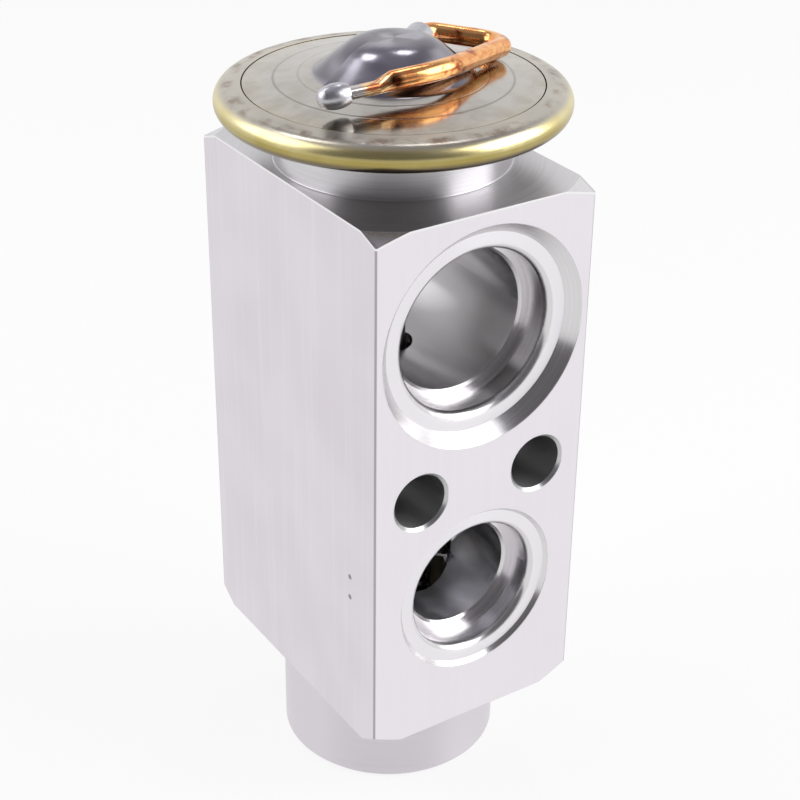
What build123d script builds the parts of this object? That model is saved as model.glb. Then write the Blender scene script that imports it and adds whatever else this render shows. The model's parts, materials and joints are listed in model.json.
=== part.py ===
from build123d import *
import math
import os

# Block-type thermostatic expansion valve, in millimetres.
# +Z is the valve axis, from the adjusting boss up to the diaphragm head.
# Z = 0 is the underside of the boss, on which the valve stands. The ports face -Y and +Y.

# ---- block -------------------------------------------------------------------
block_width = 28.0
block_depth = 37.0
block_height = 65.3
edge_chamfer = 0.15
boss_height = 12.5
boss_radius = 13.4
boss_edge = 0.5
collar_height = 4.6
collar_radius = 13.25
collar_edge = 0.35
collar_root = 0.15
top_corner_radius = 20.95       # where the turned cone leaves the top face
top_corner_angle = 24.0
bottom_corner_radius = 21.1
bottom_corner_angle = 40.0

# ---- suction side (upper passage, right through) -------------------------------
suction_rise = 50.45            # above the block's underside
suction_passage_radius = 8.5
suction_mouth_radius = 13.15
suction_mouth_depth = 1.5
suction_floor_radius = 11.75
suction_seal_radius = 9.6
suction_lead_radius = 0.95
suction_seal_depth = 5.4

# ---- liquid side (lower ports) -----------------------------------------------
inlet_rise = 17.85              # above the block's underside
inlet_drill_radius = 6.7
inlet_drill_end = 5.0           # from the valve axis
inlet_mouth_radius = 10.45
inlet_mouth_depth = 0.5
inlet_floor_radius = 10.0
inlet_seal_radius = 8.0
inlet_lead_radius = 0.9
inlet_seal_depth = 4.0
outlet_rise = 24.4              # above the block's underside
outlet_drill_radius = 4.2
outlet_drill_end = 3.3          # past the valve axis
outlet_mouth_radius = 7.6
outlet_mouth_depth = 0.4
outlet_floor_radius = 7.3
outlet_seal_radius = 6.3
outlet_lead_radius = 0.5
outlet_seal_depth = 4.0
passage_chamfer = 0.3

# ---- clamping bolts ------------------------------------------------------------
bolt_spacing = 15.8
bolt_rise = 32.3                # above the block's underside
bolt_hole_radius = 3.3
bolt_hole_chamfer = 0.36

# ---- fits ----------------------------------------------------------------------
running_gap = 0.05              # radial, between a sliding or turning piece and its bore
seat_gap = 0.02                 # between pieces that bear on each other
seal_gap = 0.02                 # between a sealing ring and what it seals on

# ---- throttle: seat, ball, carrier ---------------------------------------------
valve_travel = 0.8
chamber_radius = 7.7
chamber_top_rise = 17.9         # above the block's underside
seat_ring_radius = 3.9
seat_ring_height = 2.2
throat_radius = 2.8
seat_cone = 0.25
ball_radius = 3.175
ball_seat_gap = 0.05
carrier_cup_radius = 3.7
carrier_cup_height = 3.2
carrier_flange_radius = 5.6
carrier_flange_height = 1.3
carrier_spigot_radius = 3.4
carrier_spigot_height = 3.0
cup_wall_rise = 0.9             # cup rim below the ball's centre
damper_sheet = 0.35
damper_legs = 4
damper_leg_width = 2.6
damper_leg_length = 6.5
damper_ring_radius = 5.0

# ---- superheat spring -----------------------------------------------------------
spring_wire_radius = 0.65
spring_mean_radius = 4.55
spring_coils = 6

# ---- adjusting screw -------------------------------------------------------------
screw_thread_radius = 8.9
screw_thread_length = 6.0
screw_recess = 1.6              # below the boss's underside edge
screw_length = 10.4
screw_edge = 0.6
screw_bore_length = 8.9
spring_pocket_depth = 1.8
hex_across_flats = 8.0
hex_depth = 6.2
screw_seal_section = 0.68
screw_seal_from_top = 1.5
screw_seal_groove = 1.7

# ---- push rod, sensing stem and their seal -----------------------------------------
rod_radius = 1.2
stem_radius = 1.6
rod_joint_rise = 34.6           # above the block's underside
stem_shoulder_room = 0.4        # left below the stem's foot at full travel
stem_seal_section = 0.41
stem_seal_pocket_depth = 3.6    # below the suction passage's floor
retainer_height = 0.8
retainer_edge = 0.35

# ---- diaphragm head -----------------------------------------------------------------
neck_thread_radius = 10.0
neck_length = 8.3
neck_bore_radius = 5.6
neck_counterbore_radius = 8.9
neck_counterbore_depth = 2.2
head_lift = 0.2                 # gap between the collar and the head's flange
gasket_chamfer = 2.4
flange_radius = 13.4
flange_sheet = 1.24
rim_radius = 18.04              # to the middle of the rolled edge
rim_section = 1.6
rim_rise = 2.0                  # rolled edge's middle above the flange's underside
rim_lip_radius = 16.6
rim_lip_sheet = 0.42
cover_sheet = 0.9
cover_slope = 7.9
cover_sink = 0.05               # cover's cone below the rolled lip's
cover_groove = 0.15             # open ring between the cover's cone and the lip
dome_base_radius = 8.7
dome_top_radius = 4.3
dome_height = 3.8
dome_base_round = 0.8
dome_top_round = 5.0
diaphragm_sheet = 0.25
diaphragm_wave = 0.22
diaphragm_waves = (10.6, 12.6)
pad_radius = 8.55
pad_sheet = 1.05
pad_hub_radius = 3.2
pad_hub_height = 2.6
pad_socket_depth = 2.2

# ---- charge tube ------------------------------------------------------------------------
tube_radius = 1.09
tube_bore_radius = 0.55
tube_route = [                  # across, along, above the rim's middle
    (4.35, 3.03, 4.15), (7.9, 5.5, 4.55), (13.9, 1.55, 3.55),
    (13.7, -1.4, 3.7), (0.3, -8.95, 5.55), (-5.4, -8.0, 5.1)]
tube_bends = [1.9, 2.3, 2.3, 9.0]
pinch_length = 4.9
pinch_width = 1.2
pinch_thickness = 0.6
pinch_drop = 0.35
solder_radius = 1.45
solder_length = 3.4
braze_radius = 1.75
braze_height = 0.7

# ---- heights that follow ----------------------------------------------------------------
block_bottom = boss_height
block_top = block_bottom + block_height
collar_top = block_top + collar_height
suction_z = block_bottom + suction_rise
inlet_z = block_bottom + inlet_rise
outlet_z = block_bottom + outlet_rise
bolt_z = block_bottom + bolt_rise
chamber_top = block_bottom + chamber_top_rise

seat_z = chamber_top
ball_z = seat_z - math.sqrt(ball_radius ** 2 - throat_radius ** 2) - ball_seat_gap
rod_bottom = ball_z + ball_radius + seat_gap
rod_joint = block_bottom + rod_joint_rise
stem_shoulder_z = rod_joint - valve_travel - stem_shoulder_room
carrier_top = ball_z - cup_wall_rise
carrier_flange_top = carrier_top - carrier_cup_height + carrier_flange_height
carrier_flange_bottom = carrier_flange_top - carrier_flange_height

screw_bottom = screw_recess
screw_top = screw_bottom + screw_length
pocket_z = screw_top - spring_pocket_depth
bore_radius = screw_thread_radius + running_gap
screw_nose_radius = chamber_radius - running_gap

stem_bore_radius = stem_radius + running_gap
suction_floor_z = suction_z - suction_passage_radius
stem_pocket_z = suction_floor_z - stem_seal_pocket_depth
stem_pocket_radius = stem_radius + 2 * (seal_gap + stem_seal_section)

head_z = collar_top + head_lift
rim_z = head_z + rim_rise
rim_top = rim_z + rim_section
neck_bore_floor = head_z - neck_counterbore_depth
cover_edge_top = rim_top - rim_lip_sheet
cover_edge_bottom = cover_edge_top - cover_sheet
diaphragm_top = cover_edge_bottom - seat_gap
diaphragm_bottom = diaphragm_top - diaphragm_sheet
clamp_z = diaphragm_bottom - seat_gap
pad_top = diaphragm_bottom - seat_gap
pad_bottom = pad_top - pad_sheet
stem_top = pad_bottom - pad_hub_height + pad_socket_depth
thread_bore_radius = neck_thread_radius + running_gap


def outline(*steps):
    """Closed outline; a step with a third number is reached by an arc of that signed radius."""
    edges = []
    start = steps[0]
    for step in (*steps[1:], steps[0]):
        end = step[:2]
        edges.append(RadiusArc(start, end, step[2]) if len(step) == 3 else Line(start, end))
        start = end
    return make_face(edges)


def turned(*steps):
    """Solid of revolution about Z from an outline of (radius, height)."""
    return revolve(Plane.XZ * outline(*steps), Axis.Z)


def port(z, side, mouth, mouth_depth, floor, seal, lead, seal_depth, passage, passage_end):
    """Cutter for a turned tube port: mouth cone, flat floor, rounded lead-in, seal bore, passage."""
    over = 1.0
    cutter = turned(
        (0, over), (mouth, over), (mouth, 0), (floor, -mouth_depth), (seal + lead, -mouth_depth),
        (seal, -mouth_depth - lead, -lead), (seal, -seal_depth),
        (passage + passage_chamfer, -seal_depth), (passage, -seal_depth - passage_chamfer),
        (passage, -passage_end), (0, -passage_end))
    face = Plane(origin=(0, side * block_depth / 2, z), x_dir=(1, 0, 0), z_dir=(0, side, 0))
    return face * cutter


def bolt_hole(x):
    """Through hole along Y with a chamfer at both faces."""
    half = block_depth / 2
    wide = bolt_hole_radius + bolt_hole_chamfer
    over = 1.0
    cutter = turned(
        (0, -half - over), (wide, -half - over), (wide, -half),
        (bolt_hole_radius, -half + bolt_hole_chamfer), (bolt_hole_radius, half - bolt_hole_chamfer),
        (wide, half), (wide, half + over), (0, half + over))
    return Plane(origin=(x, 0, bolt_z), x_dir=(1, 0, 0), z_dir=(0, -1, 0)) * cutter


def axis_bore():
    """Everything bored along the valve axis: screw thread, chamber, seat bore, guides, head thread."""
    ring_bore = seat_ring_radius + seat_gap
    guide = rod_radius + running_gap
    lower = turned(
        (0, -1), (bore_radius + screw_edge, -1), (bore_radius + screw_edge, 0),
        (bore_radius, screw_edge), (bore_radius, screw_bore_length),
        (chamber_radius, screw_bore_length + bore_radius - chamber_radius),
        (chamber_radius, chamber_top), (ring_bore, chamber_top), (ring_bore, outlet_z),
        (guide, outlet_z), (guide, stem_shoulder_z),
        (stem_bore_radius, stem_shoulder_z), (stem_bore_radius, stem_pocket_z),
        (stem_pocket_radius, stem_pocket_z), (stem_pocket_radius, suction_z), (0, suction_z))
    neck_end = head_z - neck_length
    upper = turned(
        (0, suction_z), (neck_bore_radius, suction_z), (neck_bore_radius, neck_end - 1),
        (thread_bore_radius, neck_end - 1), (thread_bore_radius, collar_top - gasket_chamfer),
        (thread_bore_radius + gasket_chamfer, collar_top),
        (thread_bore_radius + gasket_chamfer, collar_top + 1), (0, collar_top + 1))
    return lower + upper


def valve_body():
    block = Pos(0, 0, block_bottom + block_height / 2) * Box(block_width, block_depth, block_height)
    block = chamfer(block.edges().filter_by(Axis.Z), edge_chamfer)
    reach = math.hypot(block_width, block_depth) / 2 + 1
    top_drop = (reach - top_corner_radius) * math.tan(math.radians(top_corner_angle))
    bottom_rise = (reach - bottom_corner_radius) * math.tan(math.radians(bottom_corner_angle))
    block &= turned(
        (0, block_bottom), (bottom_corner_radius, block_bottom), (reach, block_bottom + bottom_rise),
        (reach, block_top - top_drop), (top_corner_radius, block_top), (0, block_top))
    boss = turned(
        (0, 0), (boss_radius - boss_edge, 0), (boss_radius, boss_edge),
        (boss_radius, block_bottom + 1), (0, block_bottom + 1))
    collar = turned(
        (0, block_top - 1), (collar_radius + collar_root, block_top - 1),
        (collar_radius + collar_root, block_top),
        (collar_radius, block_top + collar_root, collar_root),
        (collar_radius, collar_top - collar_edge), (collar_radius - collar_edge, collar_top),
        (0, collar_top))
    body = block + boss + collar
    for side in (-1, 1):
        body -= port(suction_z, side, suction_mouth_radius, suction_mouth_depth,
                     suction_floor_radius, suction_seal_radius, suction_lead_radius,
                     suction_seal_depth, suction_passage_radius, block_depth / 2 + 1)
    body -= port(inlet_z, -1, inlet_mouth_radius, inlet_mouth_depth, inlet_floor_radius,
                 inlet_seal_radius, inlet_lead_radius, inlet_seal_depth,
                 inlet_drill_radius, block_depth / 2 - inlet_drill_end)
    body -= port(outlet_z, 1, outlet_mouth_radius, outlet_mouth_depth, outlet_floor_radius,
                 outlet_seal_radius, outlet_lead_radius, outlet_seal_depth,
                 outlet_drill_radius, block_depth / 2 + outlet_drill_end)
    for x in (-bolt_spacing / 2, bolt_spacing / 2):
        body -= bolt_hole(x)
    return body - axis_bore()


def valve_seat():
    top = seat_z + seat_ring_height
    return turned(
        (throat_radius + seat_cone, seat_z), (seat_ring_radius, seat_z), (seat_ring_radius, top),
        (throat_radius, top), (throat_radius, seat_z + seat_cone))


def valve_ball():
    return Pos(0, 0, ball_z) * Sphere(ball_radius)


def ball_carrier():
    spigot_bottom = carrier_flange_bottom - carrier_spigot_height
    blank = turned(
        (0, spigot_bottom), (carrier_spigot_radius - 0.4, spigot_bottom),
        (carrier_spigot_radius, spigot_bottom + 0.4), (carrier_spigot_radius, carrier_flange_bottom),
        (carrier_flange_radius, carrier_flange_bottom), (carrier_flange_radius, carrier_flange_top),
        (carrier_cup_radius, carrier_flange_top), (carrier_cup_radius, carrier_top),
        (0, carrier_top))
    return blank - Pos(0, 0, ball_z) * Sphere(ball_radius + seat_gap)


def damper_clip():
    """Spring-steel star on the carrier's flange, its legs bent down beside the chamber wall."""
    low = carrier_flange_top + seat_gap
    leg_outer = chamber_radius - 2 * running_gap
    leg_inner = leg_outer - damper_sheet
    clip = turned(
        (carrier_cup_radius + running_gap, low), (damper_ring_radius, low),
        (damper_ring_radius, low + damper_sheet),
        (carrier_cup_radius + running_gap, low + damper_sheet))
    hoop = turned(
        (damper_ring_radius - 0.5, low), (leg_inner, low), (leg_inner, low - damper_leg_length),
        (leg_outer, low - damper_leg_length), (leg_outer, low + damper_sheet),
        (damper_ring_radius - 0.5, low + damper_sheet))
    reach = 2 * chamber_radius
    for i in range(damper_legs):
        slot = Pos(reach / 2, 0, low) * Box(reach, damper_leg_width, 4 * damper_leg_length)
        clip += hoop & (Rot(0, 0, 45 + i * 360 / damper_legs) * slot)
    return clip


def superheat_spring():
    """Compression spring with ground ends, between the adjusting screw and the carrier."""
    low = pocket_z + seat_gap
    high = carrier_flange_bottom - seat_gap
    length = high - low
    coil = Pos(0, 0, low) * Helix(length / spring_coils, length, spring_mean_radius)
    start = Plane(origin=coil @ 0, z_dir=coil % 0)
    wire = sweep(start * Circle(spring_wire_radius), path=coil)
    slab = Pos(0, 0, (low + high) / 2) * Cylinder(spring_mean_radius + 2, length)
    return wire & slab


def adjusting_screw():
    thread_top = screw_bottom + screw_thread_length
    groove_top = screw_top - screw_seal_from_top
    groove_bottom = groove_top - screw_seal_groove
    groove_radius = chamber_radius - 2 * (seal_gap + screw_seal_section)
    pocket_radius = spring_mean_radius + spring_wire_radius + 0.25
    blank = turned(
        (0, screw_bottom), (screw_thread_radius - screw_edge, screw_bottom),
        (screw_thread_radius, screw_bottom + screw_edge), (screw_thread_radius, thread_top - 0.6),
        (screw_nose_radius - 0.8, thread_top), (screw_nose_radius - 0.8, thread_top + 0.3),
        (screw_nose_radius, thread_top + 0.5), (screw_nose_radius, groove_bottom),
        (groove_radius, groove_bottom), (groove_radius, groove_top), (screw_nose_radius, groove_top),
        (screw_nose_radius, screw_top - 0.4), (screw_nose_radius - 0.4, screw_top),
        (pocket_radius, screw_top), (pocket_radius, pocket_z), (0, pocket_z))
    hexagon = RegularPolygon(hex_across_flats / 2, 6, major_radius=False)
    socket = Pos(0, 0, screw_bottom) * extrude(hexagon, hex_depth)
    lead = turned((0, screw_bottom - 1), (hex_across_flats / 2 + 1.5, screw_bottom - 1),
                  (hex_across_flats / 2, screw_bottom + 0.5), (0, screw_bottom + 0.5))
    return blank - socket - lead


def ring(radius, z, section):
    """Sealing ring of round section."""
    return Pos(0, 0, z) * Torus(radius, section)


def adjusting_screw_seal():
    groove_middle = screw_top - screw_seal_from_top - screw_seal_groove / 2
    return ring(chamber_radius - seal_gap - screw_seal_section, groove_middle, screw_seal_section)


def push_rod():
    return turned((0, rod_bottom), (rod_radius - 0.3, rod_bottom), (rod_radius, rod_bottom + 0.3),
                  (rod_radius, rod_joint - seat_gap), (0, rod_joint - seat_gap))


def sensing_stem():
    top = stem_top - seat_gap
    return turned((0, rod_joint), (stem_radius - 0.3, rod_joint), (stem_radius, rod_joint + 0.3),
                  (stem_radius, top - 0.3), (stem_radius - 0.3, top), (0, top))


def stem_seal():
    return ring(stem_radius + seal_gap + stem_seal_section,
                stem_pocket_z + seal_gap + stem_seal_section, stem_seal_section)


def stem_seal_retainer():
    low = stem_pocket_z + 2 * (seal_gap + stem_seal_section)
    inner = stem_radius + 2 * running_gap
    outer = stem_pocket_radius - seat_gap
    return turned((inner, low), (outer, low), (outer, low + retainer_height),
                  (inner + retainer_edge, low + retainer_height),
                  (inner, low + retainer_height - retainer_edge))


def cone_z(radius):
    """Height of the head's shallow cone, which touches the rolled edge's round."""
    slope = math.radians(cover_slope)
    return rim_z + rim_section / math.cos(slope) + (rim_radius - radius) * math.tan(slope)


def element_housing():
    """Threaded neck, flange and rolled edge of the head, turned and pressed from one blank."""
    neck_end = head_z - neck_length
    lip_top = cone_z(rim_lip_radius)
    slope = math.radians(cover_slope)
    round_end = (rim_radius + rim_section * math.sin(slope), rim_z + rim_section * math.cos(slope))
    edge_bore = rim_radius + 0.25
    inner_rise = head_z + flange_sheet
    root = 0.9
    root_drop = rim_section * math.sqrt(1 - root ** 2)
    return turned(
        (neck_bore_radius, neck_end), (neck_thread_radius - 0.7, neck_end),
        (neck_thread_radius, neck_end + 0.7), (neck_thread_radius, head_z),
        (flange_radius, head_z), (rim_radius - root * rim_section, rim_z - root_drop),
        (rim_radius + rim_section, rim_z, -rim_section), (*round_end, -rim_section),
        (rim_lip_radius, lip_top), (rim_lip_radius, lip_top - rim_lip_sheet),
        (rim_lip_radius + 0.3, cover_edge_top), (edge_bore, cover_edge_top), (edge_bore, clamp_z),
        (rim_lip_radius - 0.6, clamp_z), (flange_radius, inner_rise),
        (neck_counterbore_radius, inner_rise), (neck_counterbore_radius, neck_bore_floor),
        (neck_bore_radius, neck_bore_floor))


def element_gasket():
    room = gasket_chamfer + head_lift - running_gap
    section = (room - 2 * seal_gap * 1.5) / (2 + math.sqrt(2))
    return ring(neck_thread_radius + seal_gap + section, head_z - seal_gap - section, section)


def diaphragm():
    """Corrugated disc clamped under the cover's edge."""
    edge = rim_radius + 0.05
    crest = diaphragm_wave
    top = [(0, diaphragm_top)]
    for radius in diaphragm_waves:
        top += [(radius - 0.7, diaphragm_top), (radius, diaphragm_top - crest),
                (radius + 0.7, diaphragm_top)]
    top.append((edge, diaphragm_top))
    bottom = [(r, z - diaphragm_sheet) for r, z in reversed(top)]
    return turned(*top, *bottom)


def diaphragm_pad():
    hub_bottom = pad_bottom - pad_hub_height
    socket = stem_radius + running_gap
    return turned(
        (socket, hub_bottom), (pad_hub_radius, hub_bottom), (pad_hub_radius, pad_bottom),
        (pad_radius, pad_bottom), (pad_radius, pad_top - 0.3), (pad_radius - 0.3, pad_top),
        (0, pad_top), (0, stem_top), (socket, stem_top))


def parallel(points, distance):
    """The points of an open outline moved to its right by a distance, corners mitred."""
    lines = []
    for (r0, z0), (r1, z1) in zip(points, points[1:]):
        length = math.hypot(r1 - r0, z1 - z0)
        shift_r = distance * (z1 - z0) / length
        shift_z = -distance * (r1 - r0) / length
        lines.append(((r0 + shift_r, z0 + shift_z), (r1 + shift_r, z1 + shift_z)))
    moved = [lines[0][0]]
    for (a, b), (c, d) in zip(lines, lines[1:]):
        run_1 = (b[0] - a[0], b[1] - a[1])
        run_2 = (d[0] - c[0], d[1] - c[1])
        turn = run_1[0] * run_2[1] - run_1[1] * run_2[0]
        step = ((c[0] - a[0]) * run_2[1] - (c[1] - a[1]) * run_2[0]) / turn
        moved.append((a[0] + step * run_1[0], a[1] + step * run_1[1]))
    return [*moved, lines[-1][1]]


def cover_line():
    """Top line of the cover sheet, from the axis out to where it dips under the rolled lip."""
    shoulder_r = rim_lip_radius - cover_groove
    base_z = cone_z(dome_base_radius) - cover_sink
    top_z = base_z + dome_height
    return [(0, top_z), (dome_top_radius, top_z), (dome_base_radius, base_z),
            (shoulder_r, cone_z(shoulder_r) - cover_sink)]


def element_cover():
    """Stamped cover: charge dome, shallow cone and an edge held under the rolled lip."""
    top = cover_line()
    under = parallel(top, cover_sheet)
    edge = rim_radius + 0.1
    upper = FilletPolyline(*top, radius=[dome_top_round, dome_base_round])
    lower = FilletPolyline(*under, radius=[dome_top_round - cover_sheet,
                                           dome_base_round + cover_sheet])
    z_top = cover_edge_top - seat_gap
    lip_foot = cone_z(rim_lip_radius) - rim_lip_sheet
    rest = Polyline(top[-1], (rim_lip_radius - seat_gap, lip_foot - seat_gap),
                    (rim_lip_radius + 0.3, z_top), (edge, z_top), (edge, cover_edge_bottom),
                    (rim_lip_radius - 0.4, cover_edge_bottom), under[-1])
    profile = make_face([*upper.edges(), *lower.edges(), *rest.edges(), Line(under[0], top[0])])
    cover = revolve(Plane.XZ * profile, Axis.Z)
    hole_length = 4.0
    return cover - tube_entry() * Pos(0, 0, hole_length / 2 - 0.5) * Cylinder(
        tube_radius + seat_gap, hole_length)


def under_cover():
    """All the room below the cover's outer surface."""
    top = cover_line()
    line = FilletPolyline(*top, radius=[dome_top_round, dome_base_round])
    rest = Polyline(top[-1], (top[-1][0], rim_z), (0, rim_z), top[0])
    return revolve(Plane.XZ * make_face([*line.edges(), *rest.edges()]), Axis.Z)


def tube_points():
    return [Vector(x, y, rim_z + rise) for x, y, rise in tube_route]


def tube_entry():
    """Frame at the tube's inner end, its Z along the tube out of the dome."""
    inner, bend = tube_points()[:2]
    return Plane(origin=inner, z_dir=(bend - inner).normalized())


def tube_end():
    """Frame where the round tube turns flat, its Z along the tube and its X across the flat."""
    before, last = tube_points()[-2:]
    along = (last - before).normalized()
    return Plane(origin=last, x_dir=along.cross(Vector(0, 0, 1)), z_dir=along)


def charge_tube():
    """Copper tube brazed into the dome, bent round beside it and pinched flat at its end."""
    points = tube_points()
    path = FilletPolyline(*points, radius=tube_bends)
    start = Plane(origin=path @ 0, z_dir=path % 0)
    tube = sweep(start * (Circle(tube_radius) - Circle(tube_bore_radius)), path=path)
    end = tube_end()
    middle = end * Pos(0, pinch_drop, pinch_length * 0.35)
    tip = end * Pos(0, pinch_drop, pinch_length)
    flat = Ellipse(pinch_width, pinch_thickness)
    pinch = loft([end * Circle(tube_radius), middle * flat])
    pinch += loft([middle * flat, tip * flat])
    return tube + pinch


def tube_end_solder():
    """Bead of solder that closes the pinched end."""
    waist = 0.75 * solder_radius
    tip = 0.2 * solder_length
    tip_round = (waist ** 2 + tip ** 2) / (2 * tip)
    bead = turned((0, 0), (waist, 0), (waist, solder_length - tip, -solder_length),
                  (0, solder_length, -tip_round))
    return tube_end() * Pos(0, pinch_drop, pinch_length + seat_gap) * bead


def tube_braze():
    """Fillet of braze round the tube where it enters the dome."""
    hole = tube_radius + seat_gap
    reach = 3.2
    cone = turned((hole, 0), (braze_radius, 0), (braze_radius, reach - braze_height),
                  (hole + 0.2, reach), (hole, reach))
    return (tube_entry() * cone) - under_cover()


PIECES = [
    valve_body, valve_seat, valve_ball, ball_carrier, damper_clip, superheat_spring,
    adjusting_screw, adjusting_screw_seal, push_rod, sensing_stem, stem_seal,
    stem_seal_retainer, element_housing, element_gasket, diaphragm, diaphragm_pad,
    element_cover, charge_tube, tube_end_solder, tube_braze]

os.makedirs("parts", exist_ok=True)
for piece in PIECES:
    export_step(piece(), f"parts/{piece.__name__}.step")
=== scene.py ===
import json
import math

import bmesh
import bpy
from mathutils import Matrix, Vector


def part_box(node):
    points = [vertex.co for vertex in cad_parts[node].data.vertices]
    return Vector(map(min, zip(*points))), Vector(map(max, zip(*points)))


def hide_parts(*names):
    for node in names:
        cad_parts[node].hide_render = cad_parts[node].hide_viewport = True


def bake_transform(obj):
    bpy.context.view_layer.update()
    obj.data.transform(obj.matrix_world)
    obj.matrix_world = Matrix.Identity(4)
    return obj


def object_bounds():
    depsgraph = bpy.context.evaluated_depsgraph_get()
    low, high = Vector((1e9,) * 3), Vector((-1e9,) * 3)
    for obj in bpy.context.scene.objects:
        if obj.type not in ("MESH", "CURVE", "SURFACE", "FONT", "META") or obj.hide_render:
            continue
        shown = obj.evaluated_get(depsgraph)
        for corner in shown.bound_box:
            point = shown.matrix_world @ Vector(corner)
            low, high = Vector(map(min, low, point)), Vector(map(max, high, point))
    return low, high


# Looks of a block-type expansion valve. Lengths are in metres, and inside the materials in
# millimetres, both in the frame of the CAD model: +Z up the valve's axis, ports towards -Y and +Y.

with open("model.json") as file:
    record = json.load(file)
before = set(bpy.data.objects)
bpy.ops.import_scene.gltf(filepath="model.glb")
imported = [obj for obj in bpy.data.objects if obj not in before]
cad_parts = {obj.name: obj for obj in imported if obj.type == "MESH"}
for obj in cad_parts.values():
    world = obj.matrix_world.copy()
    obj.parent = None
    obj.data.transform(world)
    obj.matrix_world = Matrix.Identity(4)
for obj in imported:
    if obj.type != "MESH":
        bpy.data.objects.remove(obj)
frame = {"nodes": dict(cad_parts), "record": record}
cad_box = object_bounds()
MOUNTS = {m["name"]: m for m in frame["record"]["mounts"]}
MM = 1000.0


# ---- camera --------------------------------------------------------------------------------
VIEW_AZIMUTH = math.radians(-33.37)
VIEW_ELEVATION = math.radians(28.75)
VIEW_ROLL = math.radians(0.65)
VIEW_DISTANCE = 0.2101
VIEW_TARGET_HEIGHT = 0.04927
VIEW_ASIDE = 0.00105
SENSOR = 36.0
PHOTO_PIXELS = 800.0
FOCAL_PIXELS = 1773.0
SHIFT_PIXELS = -19.5            # upright shift of the lens
CLIP_START = 0.01


def direction_to(azimuth, elevation):
    """Direction from the object to a camera or lamp, from its angles in radians."""
    return Vector((math.sin(azimuth) * math.cos(elevation),
                   -math.cos(azimuth) * math.cos(elevation), math.sin(elevation)))


def aim_camera():
    back = direction_to(VIEW_AZIMUTH, VIEW_ELEVATION)
    right = Vector((math.cos(VIEW_AZIMUTH), math.sin(VIEW_AZIMUTH), 0.0))
    up = back.cross(right)
    roll = Matrix.Rotation(VIEW_ROLL, 3, back)
    right, up = roll @ right, roll @ up
    camera = bpy.data.objects.new("camera", bpy.data.cameras.new("camera"))
    bpy.context.scene.collection.objects.link(camera)
    camera.data.sensor_width = SENSOR
    camera.data.lens = SENSOR * FOCAL_PIXELS / PHOTO_PIXELS
    camera.data.shift_y = SHIFT_PIXELS / PHOTO_PIXELS
    camera.data.clip_start = CLIP_START
    place = Vector((0, 0, VIEW_TARGET_HEIGHT)) + right * VIEW_ASIDE + back * VIEW_DISTANCE
    turn = Matrix((right, up, back)).transposed().to_4x4()
    camera.matrix_world = Matrix.Translation(place) @ turn
    bpy.context.scene.camera = camera


aim_camera()


# ---- node helpers ----------------------------------------------------------------------------
def srgb(red, green, blue):
    """Linear colour of a screen colour from 0 to 255."""
    def linear(value):
        value /= 255.0
        return value / 12.92 if value <= 0.04045 else ((value + 0.055) / 1.055) ** 2.4
    return (linear(red), linear(green), linear(blue), 1.0)


def feed(tree, socket, value):
    if isinstance(value, bpy.types.NodeSocket):
        tree.links.new(value, socket)
    else:
        socket.default_value = value


def add_node(tree, kind, inputs, **settings):
    made = tree.nodes.new("ShaderNode" + kind)
    for name, value in settings.items():
        setattr(made, name, value)
    for key, value in inputs.items():
        feed(tree, made.inputs[key], value)
    return made


def smooth_rise(tree, value, low, high):
    """0 below low, 1 above high, smooth between; falls where low is above high."""
    inputs = {"Value": value, "From Min": low, "From Max": high}
    return add_node(tree, "MapRange", inputs, interpolation_type="SMOOTHSTEP").outputs[0]


def mixed_colour(tree, factor, low, high):
    return add_node(tree, "Mix", {0: factor, 6: low, 7: high}, data_type="RGBA").outputs[2]


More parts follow.
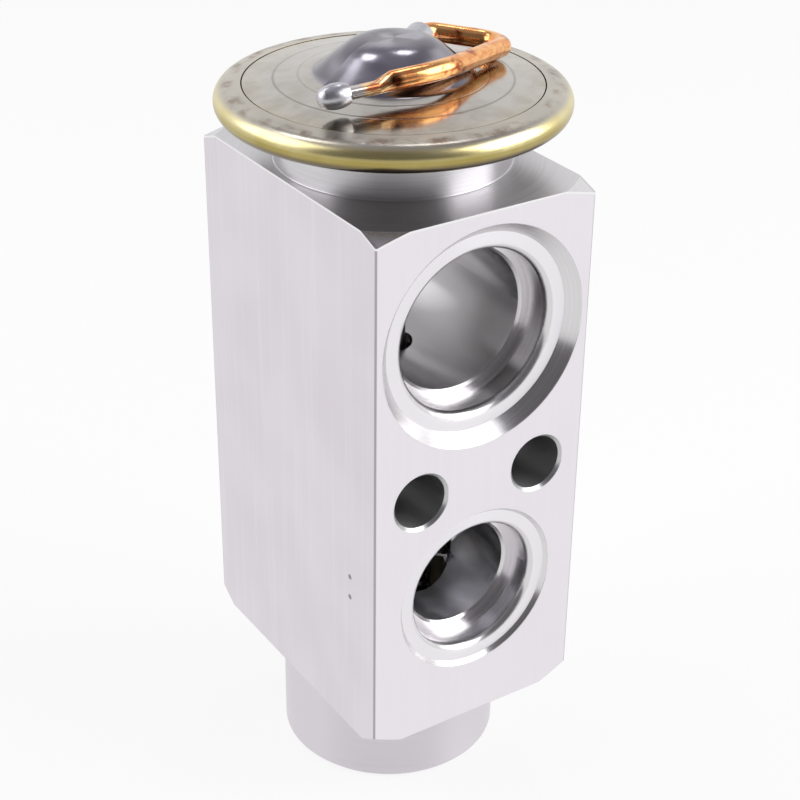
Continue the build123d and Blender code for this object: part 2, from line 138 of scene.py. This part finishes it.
class Look:
    """One procedural material. Its methods add nodes and return what they put out."""

    def __init__(self, name, **sockets):
        self.material = bpy.data.materials.new(name)
        self.material.use_nodes = True
        self.tree = self.material.node_tree
        self.shader = self.tree.nodes["Principled BSDF"]
        coords = self.node("TexCoord", {})
        self.place = self.vector("SCALE", coords.outputs["Object"], scale=MM)
        self.facing = coords.outputs["Normal"]
        self.x, self.y, self.z = self.split(self.place)
        self.radius = self.hypot(self.x, self.y)
        self.set(**sockets)

    def set(self, **sockets):
        for name, value in sockets.items():
            feed(self.tree, self.shader.inputs[name.replace("_", " ")], value)

    def node(self, kind, inputs, **settings):
        return add_node(self.tree, kind, inputs, **settings)

    def calc(self, operation, *values, clamp=False):
        inputs = dict(enumerate(values))
        return self.node("Math", inputs, operation=operation, use_clamp=clamp).outputs[0]

    def vector(self, operation, *values, scale=None):
        inputs = dict(enumerate(values))
        made = self.node("VectorMath", inputs, operation=operation)
        if scale is not None:
            made.inputs["Scale"].default_value = scale
        return made.outputs["Value" if operation in ("LENGTH", "DOT_PRODUCT") else "Vector"]

    def split(self, vector):
        return self.node("SeparateXYZ", {0: vector}).outputs[:3]

    def join(self, x, y, z):
        return self.node("CombineXYZ", {0: x, 1: y, 2: z}).outputs[0]

    def hypot(self, a, b):
        return self.calc("SQRT", self.calc("ADD", self.calc("MULTIPLY", a, a),
                                           self.calc("MULTIPLY", b, b)))

    def from_point(self, point):
        """Distance from a point in the frame."""
        return self.vector("LENGTH", self.vector("SUBTRACT", self.place, point))

    def rise(self, value, low, high):
        return smooth_rise(self.tree, value, low, high)

    def band(self, value, middle, half, soft):
        """1 within half of the middle, 0 further than half + soft."""
        away = self.calc("ABSOLUTE", self.calc("SUBTRACT", value, middle))
        return self.rise(away, half + soft, half)

    def either(self, a, b):
        return self.calc("MAXIMUM", a, b)

    def both(self, a, b):
        return self.calc("MULTIPLY", a, b)

    def no(self, a):
        return self.calc("SUBTRACT", 1.0, a)

    def mix(self, factor, low, high):
        inputs = {"Factor": factor, "A": low, "B": high}
        return self.node("Mix", inputs, data_type="FLOAT").outputs[0]

    def tint(self, factor, low, high):
        return mixed_colour(self.tree, factor, low, high)

    def blend(self, factor, low, high):
        """Mix of two vectors."""
        return self.node("Mix", {0: factor, 4: low, 5: high}, data_type="VECTOR").outputs[1]

    def noise(self, scale, stretch=(1, 1, 1), detail=3.0, rough=0.55, place=None):
        """Noise from 0 to 1, with scale features to a millimetre, stretched along each axis."""
        where = self.vector("MULTIPLY", place or self.place, tuple(1 / s for s in stretch))
        inputs = {"Vector": where, "Scale": scale, "Detail": detail, "Roughness": rough}
        return self.node("TexNoise", inputs).outputs[0]

    def around(self, rings=1.0, turns=1.0):
        """Place measured round the valve's axis: radius, angle and height, for turned marks."""
        angle = self.calc("ARCTAN2", self.y, self.x)
        return self.join(self.calc("MULTIPLY", self.radius, rings),
                         self.calc("MULTIPLY", angle, turns),
                         self.calc("MULTIPLY", self.z, rings))

    def thread(self, pitch, radius):
        """Flanks of a right-hand thread round the axis, 0 to 1, at its outer radius alone."""
        turn = self.calc("DIVIDE", self.calc("ARCTAN2", self.y, self.x), 2 * math.pi)
        along = self.calc("SUBTRACT", self.calc("DIVIDE", self.z, pitch), turn)
        flank = self.calc("PINGPONG", self.calc("MULTIPLY", along, 2.0), 1.0)
        return self.both(flank, self.band(self.radius, radius, THREAD_BAND, THREAD_BAND))

    def bump(self, height, depth):
        """Surface relief: height from 0 to 1, depth in millimetres."""
        inputs = {"Height": height, "Distance": depth / MM, "Strength": 1.0}
        normal = self.node("Bump", inputs).outputs[0]
        self.set(Normal=normal)
        return normal


# ---- materials ---------------------------------------------------------------------------------
THREAD_BAND = 0.05              # thread relief is full this near its radius, gone at twice that
THREAD_DEPTH = 0.5
SCREW_PITCH, SCREW_RADIUS = 1.0, 8.9
NECK_PITCH, NECK_RADIUS = 1.5, 10.0
_, block_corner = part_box("valve_body")
HALF_WIDTH = block_corner[0] * MM
HALF_DEPTH = block_corner[1] * MM
BLOCK_TOP = 77.8                # upper face of the block
BLOCK_BOTTOM = 12.5             # lower face of the block
BORED_HALF = 13.6               # half the width that holds the ports and bores
SKIN = 0.03                     # a face's finish fades in from two of these below it to one
SUCTION_Z, BOLT_Z, INLET_Z, OUTLET_Z = (
    MOUNTS[name]["pos_m"][2] * MM for name in
    ("suction_port_front", "bolts", "liquid_inlet", "liquid_outlet"))
BOLT_X = 7.9                    # bolt holes from the middle of the block
ABOVE_BOLTS = BOLT_Z + 4.2      # between the bolt holes and the suction port
BELOW_BOLTS = BOLT_Z - 3.8      # between the bolt holes and the liquid ports
PORT_DEPTH = 4.8                # below the block's face, where the deep bore's finish fades in
BORE_DEPTH = 6.5                # and where it is full
TOP_CONE_RADIUS = 20.95         # outside this the block's top edges fall away as a cone
TOP_CONE_FALL = 0.445           # how far they fall for each millimetre outwards
EDGE_NEAR, EDGE_FAR = 0.16, 0.22    # from an edge, where its thin line is full and where it ends
TOP_EDGE_FAR = 0.32
PUNCH_DOTS = [(-14.0, -13.3, 34.15), (-14.0, -13.3, 31.4)]
DOT_RADIUS, DOT_FLOOR = 0.42, 0.22
DOT_DEPTH = 20.0                # times the grain's depth
TOOL_MARK = 0.0012              # depth of the grain


def drawn_aluminium():
    """Bar stock with a faint grain up its sides, and bright turned ports, collar and boss."""
    look = Look("drawn_aluminium", Metallic=1.0, Anisotropic=0.75)
    across, along = look.calc("ABSOLUTE", look.x), look.calc("ABSOLUTE", look.y)
    up = look.split(look.facing)[2]
    above = look.rise(look.z, BLOCK_TOP - 2 * SKIN, BLOCK_TOP - SKIN)
    below = look.rise(look.z, BLOCK_BOTTOM + 2 * SKIN, BLOCK_BOTTOM + SKIN)
    beyond = look.either(above, below)
    inside = look.both(look.both(look.rise(across, BORED_HALF + 0.1, BORED_HALF),
                                 look.rise(along, HALF_DEPTH - SKIN, HALF_DEPTH - 2 * SKIN)),
                       look.no(beyond))
    cone = look.both(look.rise(look.calc("ABSOLUTE", up), 0.1, 0.2), look.no(inside))
    turned_end = look.either(beyond, cone)
    side = look.both(look.no(inside), look.no(turned_end))

    # Direction of the tool marks: up the sides, round the axis, and round each port.
    high = look.rise(look.z, ABOVE_BOLTS - 0.1, ABOVE_BOLTS + 0.1)
    low = look.rise(look.z, BELOW_BOLTS + 0.1, BELOW_BOLTS - 0.1)
    bolt = look.no(look.either(high, low))
    back = look.rise(look.y, -0.1, 0.1)
    liquid_z = look.mix(back, INLET_Z, OUTLET_Z)
    middle_z = look.mix(high, look.mix(low, BOLT_Z, liquid_z), SUCTION_Z)
    middle_x = look.both(bolt, look.both(look.calc("SIGN", look.x), BOLT_X))
    out_x = look.calc("SUBTRACT", look.x, middle_x)
    out_z = look.calc("SUBTRACT", look.z, middle_z)
    port_marks = look.join(out_z, 0.0, look.calc("MULTIPLY", out_x, -1.0))
    axis_marks = look.join(look.calc("MULTIPLY", look.y, -1.0), look.x, 0.0)
    marks = look.blend(turned_end, look.blend(side, port_marks, (0.0, 0.0, 1.0)), axis_marks)
    look.set(Tangent=look.vector("NORMALIZE", look.vector("CROSS_PRODUCT", look.facing, marks)))

    port_radius = look.hypot(out_x, out_z)
    fine = look.noise(4.0, place=look.join(port_radius, look.y, 0.0), detail=2.0)
    grain = look.noise(6.0, stretch=(1, 1, 80), detail=2.0)
    streak = look.noise(1.1, stretch=(1, 1, 40), detail=2.0)
    rings = look.noise(4.0, place=look.around(turns=0.15), detail=2.0)
    cloud = look.noise(0.09, detail=1.0)
    deep = look.both(inside, look.rise(along, HALF_DEPTH - PORT_DEPTH, HALF_DEPTH - BORE_DEPTH))
    flat = look.calc("ABSOLUTE", look.split(look.facing)[1])
    mouth = look.both(inside, look.rise(flat, 0.9, 0.98))

    # Roughness
    side_rough = look.mix(look.rise(grain, 0.3, 0.7), 0.36, 0.42)
    end_rough = look.mix(look.rise(rings, 0.3, 0.7), 0.32, 0.38)
    port_rough = look.mix(deep, look.mix(look.rise(fine, 0.3, 0.7), 0.21, 0.26), 0.27)
    port_rough = look.mix(bolt, port_rough, 0.34)
    look.set(Roughness=look.mix(side, look.mix(turned_end, port_rough, end_rough), side_rough))

    # Colour
    plain = look.tint(look.rise(cloud, 0.3, 0.7), srgb(229, 223, 229), srgb(233, 228, 234))
    satin = look.tint(look.both(look.rise(streak, 0.45, 0.8), 0.5), plain, srgb(239, 235, 239))
    milled = look.rise(along, HALF_DEPTH - 0.1, HALF_DEPTH - 0.04)
    satin = look.tint(look.both(milled, 0.7), satin, srgb(243, 239, 244))
    port = look.tint(look.rise(fine, 0.3, 0.7), srgb(212, 210, 212), srgb(220, 218, 219))
    port = look.tint(mouth, port, srgb(236, 233, 237))
    # Deep in the bores the colour is painted light and shade: painted shade above the bolt holes,
    # painted light in the liquid ports below them, where little light reaches.
    port = look.tint(deep, port, look.tint(low, srgb(190, 188, 190), srgb(220, 220, 224)))
    port = look.tint(bolt, port, srgb(196, 196, 197))
    end = look.tint(look.rise(rings, 0.3, 0.7), srgb(202, 200, 203), srgb(211, 209, 212))
    end = look.tint(below, end, srgb(215, 210, 216))
    colour = look.tint(side, look.tint(turned_end, port, end), satin)

    # Painted shade as a thin darker line down each vertical edge, and a painted highlight as a thin
    # bright line along the top edges.
    corner = look.both(look.rise(across, HALF_WIDTH - EDGE_FAR, HALF_WIDTH - EDGE_NEAR),
                       look.rise(along, HALF_DEPTH - EDGE_FAR, HALF_DEPTH - EDGE_NEAR))
    colour = look.tint(look.both(side, corner), colour, srgb(176, 168, 178))
    outside = look.calc("SUBTRACT", look.radius, TOP_CONE_RADIUS)
    drop = look.calc("MAXIMUM", look.calc("MULTIPLY", outside, TOP_CONE_FALL), 0.0)
    top = look.calc("ADD", look.z, drop)
    edge = look.rise(top, BLOCK_TOP - TOP_EDGE_FAR, BLOCK_TOP - EDGE_NEAR)
    colour = look.tint(look.both(side, edge), colour, srgb(250, 249, 250))

    dots = 0.0
    for dot in PUNCH_DOTS:
        dots = look.either(dots, look.rise(look.from_point(dot), DOT_RADIUS, DOT_FLOOR))
    look.set(Base_Color=look.tint(dots, colour, srgb(150, 144, 152)))

    relief = look.mix(side, look.both(look.mix(turned_end, fine, rings), 0.3), grain)
    relief = look.calc("SUBTRACT", relief, look.both(dots, DOT_DEPTH))
    look.bump(relief, TOOL_MARK)
    return look.material


def satin_steel():
    look = Look("satin_steel", Metallic=1.0)
    marks = look.noise(4.0, stretch=(1, 1, 0.1))
    look.set(Base_Color=look.tint(marks, srgb(150, 148, 145), srgb(176, 173, 168)),
             Roughness=look.mix(marks, 0.24, 0.36))
    look.bump(marks, 0.002)
    return look.material


def polished_steel():
    look = Look("polished_steel", Metallic=1.0)
    cloud = look.noise(1.5)
    look.set(Base_Color=look.tint(cloud, srgb(208, 207, 208), srgb(222, 221, 221)),
             Roughness=look.mix(cloud, 0.05, 0.1))
    return look.material


def turned_brass():
    look = Look("turned_brass", Metallic=1.0)
    marks = look.noise(4.0, place=look.around(turns=0.3))
    look.set(Base_Color=look.tint(marks, srgb(180, 165, 124), srgb(198, 183, 146)),
             Roughness=look.mix(marks, 0.2, 0.34))
    thread = look.thread(pitch=SCREW_PITCH, radius=SCREW_RADIUS)
    look.bump(look.calc("ADD", look.both(marks, 0.006), thread), THREAD_DEPTH)
    return look.material


def spring_steel():
    look = Look("spring_steel", Metallic=1.0)
    marks = look.noise(3.0)
    look.set(Base_Color=look.tint(marks, srgb(158, 156, 156), srgb(184, 182, 182)),
             Roughness=look.mix(marks, 0.22, 0.32))
    return look.material


def seal_rubber():
    look = Look("seal_rubber")
    marks = look.noise(6.0)
    look.set(Base_Color=look.tint(marks, srgb(22, 22, 23), srgb(38, 38, 39)),
             Roughness=look.mix(marks, 0.45, 0.6))
    look.bump(marks, 0.004)
    return look.material


RIM_RADIUS = 18.04              # middle of the head's rolled edge
RIM_Z = 84.6                    # and its height


def zinc_plate():
    """Zinc with a yellow tint on the rolled edge, plain on the lip; its lightness is painted by
    facing: a cream painted highlight on the round, olive painted shade lower down, and dark grey
    painted shade below.
    """
    look = Look("zinc_plate", Metallic=1.0)
    drift = look.rise(look.noise(0.16, detail=2.0), 0.35, 0.65)
    fine = look.noise(2.5, place=look.around(turns=1.5), detail=2.0)
    blotches = look.noise(0.45, detail=3.0)
    up = look.split(look.facing)[2]
    lip = look.tint(drift, srgb(184, 179, 169), srgb(194, 188, 176))
    cream_highlight = look.tint(drift, srgb(216, 202, 146), srgb(222, 211, 166))
    olive_shade = look.tint(drift, srgb(168, 152, 88), srgb(182, 168, 108))
    # Painted light and shade by facing: a cream painted highlight where the round turns outwards,
    # olive painted shade lower down, darker painted shade on faces that look down.
    colour = look.tint(look.rise(up, 0.93, 0.55), lip, cream_highlight)
    colour = look.tint(look.rise(up, 0.45, -0.1), colour, olive_shade)
    colour = look.tint(look.rise(up, -0.15, -0.6), colour, srgb(112, 100, 78))
    # Brown blotches in a band round the top of the rolled edge.
    brown = look.both(look.rise(blotches, 0.42, 0.72), look.band(look.radius, RIM_RADIUS, 0.2, 0.9))
    brown = look.both(brown, look.rise(look.z, RIM_Z + 0.3, RIM_Z + 1.0))
    colour = look.tint(look.both(brown, 0.8), colour, srgb(116, 92, 72))
    # Painted shade: dark grey under the rolled edge.
    below = look.both(look.rise(look.z, RIM_Z - 0.5, RIM_Z - 1.2),
                      look.rise(look.radius, RIM_RADIUS + 0.3, RIM_RADIUS - 0.4))
    look.set(Base_Color=look.tint(below, colour, srgb(104, 100, 96)),
             Roughness=look.mix(fine, 0.25, 0.32))
    neck = look.thread(pitch=NECK_PITCH, radius=NECK_RADIUS)
    look.bump(look.calc("ADD", look.both(fine, 0.003), look.both(neck, 1.4)), THREAD_DEPTH)
    return look.material


WORN_FROM, WORN_TO = 13.0, 17.0     # the cover turns from grey to warm between these radii
DOME_RADIUS = 8.6
OUTER_RING, INNER_RING = 13.1, 10.4


def pressed_cover():
    """Bright pressed steel: rings and stains round the axis, and a brushed dome whose darker colour
    and patches are painted reflection.
    """
    look = Look("pressed_cover", Metallic=1.0)
    marks = look.noise(2.0, place=look.around(turns=1.0), detail=3.0)
    stain = look.noise(0.35, detail=4.0)
    patch = look.noise(0.26, place=look.around(turns=2.5), detail=1.0)
    out = look.rise(look.radius, WORN_FROM, WORN_TO)
    grey = look.tint(look.rise(stain, 0.35, 0.7), srgb(186, 182, 177), srgb(172, 167, 160))
    warm = look.tint(look.rise(stain, 0.35, 0.7), srgb(188, 182, 171), srgb(172, 164, 150))
    colour = look.tint(out, grey, warm)
    dome = look.rise(look.radius, DOME_RADIUS + 0.6, DOME_RADIUS)
    # Painted reflection: the dome is darkened, with light and dark patches, as if it reflected a
    # darker room.
    dome_painted_reflection = look.tint(look.rise(patch, 0.38, 0.62), srgb(112, 109, 117), srgb(160, 157, 166))
    outer = look.band(look.radius, OUTER_RING, 0.07, 0.14)
    inner = look.band(look.radius, INNER_RING, 0.05, 0.12)
    rings = look.both(look.either(outer, look.both(inner, 0.6)), 0.55)
    colour = look.tint(rings, colour, srgb(120, 114, 106))
    look.set(Base_Color=look.tint(dome, colour, dome_painted_reflection),
             Roughness=look.mix(dome, look.mix(marks, 0.1, 0.19), look.mix(patch, 0.13, 0.24)))
    relief = look.calc("SUBTRACT", look.both(marks, 0.25), look.either(outer, inner))
    look.bump(relief, 0.01)
    return look.material


BLOB = (-12.2, -6.9, 88.8)      # middle of the solder on the tube's end
TINNED, TINNED_FADE = 3.0, 4.2  # how far from it the tube is tinned
PINCH, PINCH_FADE = 6.0, 7.6    # how far from it the pinched end's streaks reach
NOTCH_SHADE = (-5.5, -9.05, 90.0)      # painted shade of the notch where the pinch begins
NOTCH_SHADE_SIZE, NOTCH_SHADE_FADE = 0.35, 1.2


def drawn_copper():
    """Bright copper tube with streaks along it, browned where heated, tinned near its end."""
    look = Look("drawn_copper", Metallic=1.0)
    streak = look.noise(2.2, stretch=(6, 2, 1))
    burnt = look.noise(0.55, detail=4.0)
    clean = look.tint(look.rise(streak, 0.35, 0.7), srgb(250, 190, 124), srgb(232, 148, 88))
    clean = look.tint(look.rise(burnt, 0.55, 0.7), clean, srgb(158, 80, 46))
    from_end = look.from_point(BLOB)
    pinch = look.tint(look.rise(streak, 0.4, 0.6), srgb(250, 214, 156), srgb(204, 120, 76))
    clean = look.tint(look.rise(from_end, PINCH_FADE, PINCH), clean, pinch)
    # Painted shade of the notch where the pinch begins.
    notch_shade = look.rise(look.from_point(NOTCH_SHADE), NOTCH_SHADE_FADE, NOTCH_SHADE_SIZE)
    clean = look.tint(notch_shade, clean, srgb(84, 38, 20))
    tinned = look.rise(from_end, TINNED_FADE, TINNED)
    look.set(Base_Color=look.tint(tinned, clean, srgb(196, 190, 188)),
             Roughness=look.mix(streak, 0.16, 0.26))
    look.bump(streak, 0.006)
    return look.material


def bright_solder():
    look = Look("bright_solder", Metallic=1.0)
    lumps = look.noise(0.7, detail=2.0)
    look.set(Base_Color=look.tint(lumps, srgb(178, 178, 184), srgb(204, 204, 209)),
             Roughness=look.mix(lumps, 0.28, 0.4))
    look.bump(lumps, 0.09)
    return look.material


MATERIALS = {
    "block": drawn_aluminium(), "steel": satin_steel(), "polished_steel": polished_steel(),
    "brass_part": turned_brass(), "spring_steel": spring_steel(), "seal_rubber": seal_rubber(),
    "plated_head": zinc_plate(), "cover_steel": pressed_cover(), "copper_tube": drawn_copper(),
    "solder": bright_solder()}

for part in frame["record"]["subparts"]:
    slots = frame["nodes"][part["node"]].material_slots
    for one in slots:
        one.material = MATERIALS[part["material_slot"]]


# ---- spring ------------------------------------------------------------------------------------
SAME_POINT = 1e-6


def half_mesh(name, whole, middle, side):
    """The mesh below its middle (side 1) or above it (side -1), closed at the cut."""
    shape = bmesh.new()
    shape.from_mesh(whole)
    bmesh.ops.remove_doubles(shape, verts=shape.verts, dist=SAME_POINT)
    everything = [*shape.verts, *shape.edges, *shape.faces]
    bmesh.ops.bisect_plane(shape, geom=everything, plane_co=middle, plane_no=(0, 0, side),
                           clear_outer=True)
    bmesh.ops.holes_fill(shape, edges=[edge for edge in shape.edges if edge.is_boundary])
    mesh = bpy.data.meshes.new(name)
    shape.to_mesh(mesh)
    shape.free()
    mesh.materials.append(MATERIALS["spring_steel"])
    return mesh


def halve_spring():
    """The spring as two halves that meet at its middle."""
    whole = frame["nodes"]["superheat_spring"].data
    low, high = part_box("superheat_spring")
    middle = (low + high) / 2
    for name, body, seat, side in (("spring_upper", "valve_train", high, -1),
                                   ("spring_lower", "screw_carriage", low, 1)):
        half = bpy.data.objects.new(name, half_mesh(name, whole, middle, side))
        bpy.context.scene.collection.objects.link(half)
        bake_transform(half)
        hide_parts("superheat_spring")


halve_spring()


# ---- studio ------------------------------------------------------------------------------------
FLOOR_HALF = 3.0
FLOOR_DROP = 0.00005            # keeps the floor from touching what stands on it
FLOOR_GLOW = 0.85               # share of plain white in the floor that the camera sees
FILL = 0.45                     # strength of the white world as light on matt surfaces
ROOM_RISE = 0.25                # upward part of the direction to the middle of the darker room
LAMP_DISTANCE = 0.55


def light_paths(tree):
    """Two switches: rays that see the backdrop (camera, glossy or transmitted), and glossy rays."""
    path = add_node(tree, "LightPath", {})
    seen = path.outputs["Is Camera Ray"]
    for name in ("Is Glossy Ray", "Is Transmission Ray"):
        either = add_node(tree, "Math", {0: seen, 1: path.outputs[name]}, operation="MAXIMUM")
        seen = either.outputs[0]
    return seen, path.outputs["Is Glossy Ray"]


def make_floor():
    """White floor that keeps the object's shadow, and can be seen through from below."""
    corners = [(-1, -1), (1, -1), (1, 1), (-1, 1)]
    mesh = bpy.data.meshes.new("floor")
    mesh.from_pydata([(x * FLOOR_HALF, y * FLOOR_HALF, -FLOOR_DROP) for x, y in corners], [],
                     [(0, 1, 2, 3)])
    floor = bpy.data.objects.new("floor", mesh)
    bpy.context.scene.collection.objects.link(floor)
    material = bpy.data.materials.new("floor_white")
    material.use_nodes = True
    tree = material.node_tree
    tree.nodes.clear()
    seen, _ = light_paths(tree)
    share = add_node(tree, "Math", {0: seen, 1: FLOOR_GLOW}, operation="MULTIPLY").outputs[0]
    matt = add_node(tree, "BsdfDiffuse", {"Color": (0.85, 0.85, 0.85, 1)})
    glow = add_node(tree, "Emission", {"Color": (1, 1, 1, 1), "Strength": 1.0})
    mixed = add_node(tree, "MixShader", {0: share, 1: matt.outputs[0], 2: glow.outputs[0]})
    underside = add_node(tree, "NewGeometry", {}).outputs["Backfacing"]
    clear = add_node(tree, "BsdfTransparent", {})
    shown = add_node(tree, "MixShader", {0: underside, 1: mixed.outputs[0], 2: clear.outputs[0]})
    add_node(tree, "OutputMaterial", {"Surface": shown.outputs[0]})
    mesh.materials.append(material)


def make_world():
    """White backdrop; metal also sees a darker room behind the camera and a grey ceiling."""
    world = bpy.data.worlds.new("studio")
    bpy.context.scene.world = world
    world.use_nodes = True
    tree = world.node_tree
    tree.nodes.clear()
    toward = Vector((math.sin(VIEW_AZIMUTH), -math.cos(VIEW_AZIMUTH), ROOM_RISE)).normalized()
    ray = add_node(tree, "TexCoord", {}).outputs["Generated"]
    along = add_node(tree, "VectorMath", {0: ray, 1: tuple(toward)}, operation="DOT_PRODUCT")
    facing = along.outputs["Value"]
    height = add_node(tree, "SeparateXYZ", {0: ray}).outputs["Z"]

    white = (1.0, 1.0, 1.0, 1.0)
    room = (0.15, 0.145, 0.15, 1.0)
    ceiling = (0.34, 0.33, 0.37, 1.0)
    seen, glossy = light_paths(tree)
    studio = mixed_colour(tree, smooth_rise(tree, height, 0.5, 0.8), white, ceiling)
    studio = mixed_colour(tree, smooth_rise(tree, facing, 0.45, 0.75), studio, room)
    shown = mixed_colour(tree, glossy, white, studio)
    backdrop = add_node(tree, "Background", {"Color": shown, "Strength": 1.0})
    fill = add_node(tree, "Background", {"Color": white, "Strength": FILL})
    mixed = add_node(tree, "MixShader", {0: seen, 1: fill.outputs[0], 2: backdrop.outputs[0]})
    add_node(tree, "OutputWorld", {"Surface": mixed.outputs[0]})


def lamp(name, azimuth, elevation, size, power):
    """Square soft lamp that faces the object's middle, placed as the camera is: by its angles."""
    middle = (cad_box[0] + cad_box[1]) / 2
    back = direction_to(math.radians(azimuth), math.radians(elevation))
    data = bpy.data.lights.new(name, "AREA")
    data.shape = "SQUARE"
    data.size = size
    data.energy = power
    made = bpy.data.objects.new(name, data)
    bpy.context.scene.collection.objects.link(made)
    made.location = middle + back * LAMP_DISTANCE
    made.rotation_euler = back.to_track_quat("Z", "Y").to_euler()


make_floor()
make_world()
lamp("softbox_left", azimuth=-118, elevation=34, size=0.46, power=1.2)
lamp("softbox_right", azimuth=48, elevation=30, size=0.46, power=2.2)
lamp("spot_left", azimuth=-157, elevation=62, size=0.13, power=0.25)
lamp("spot_right", azimuth=132, elevation=62, size=0.1, power=0.16)

bpy.context.scene.view_settings.view_transform = "Standard"
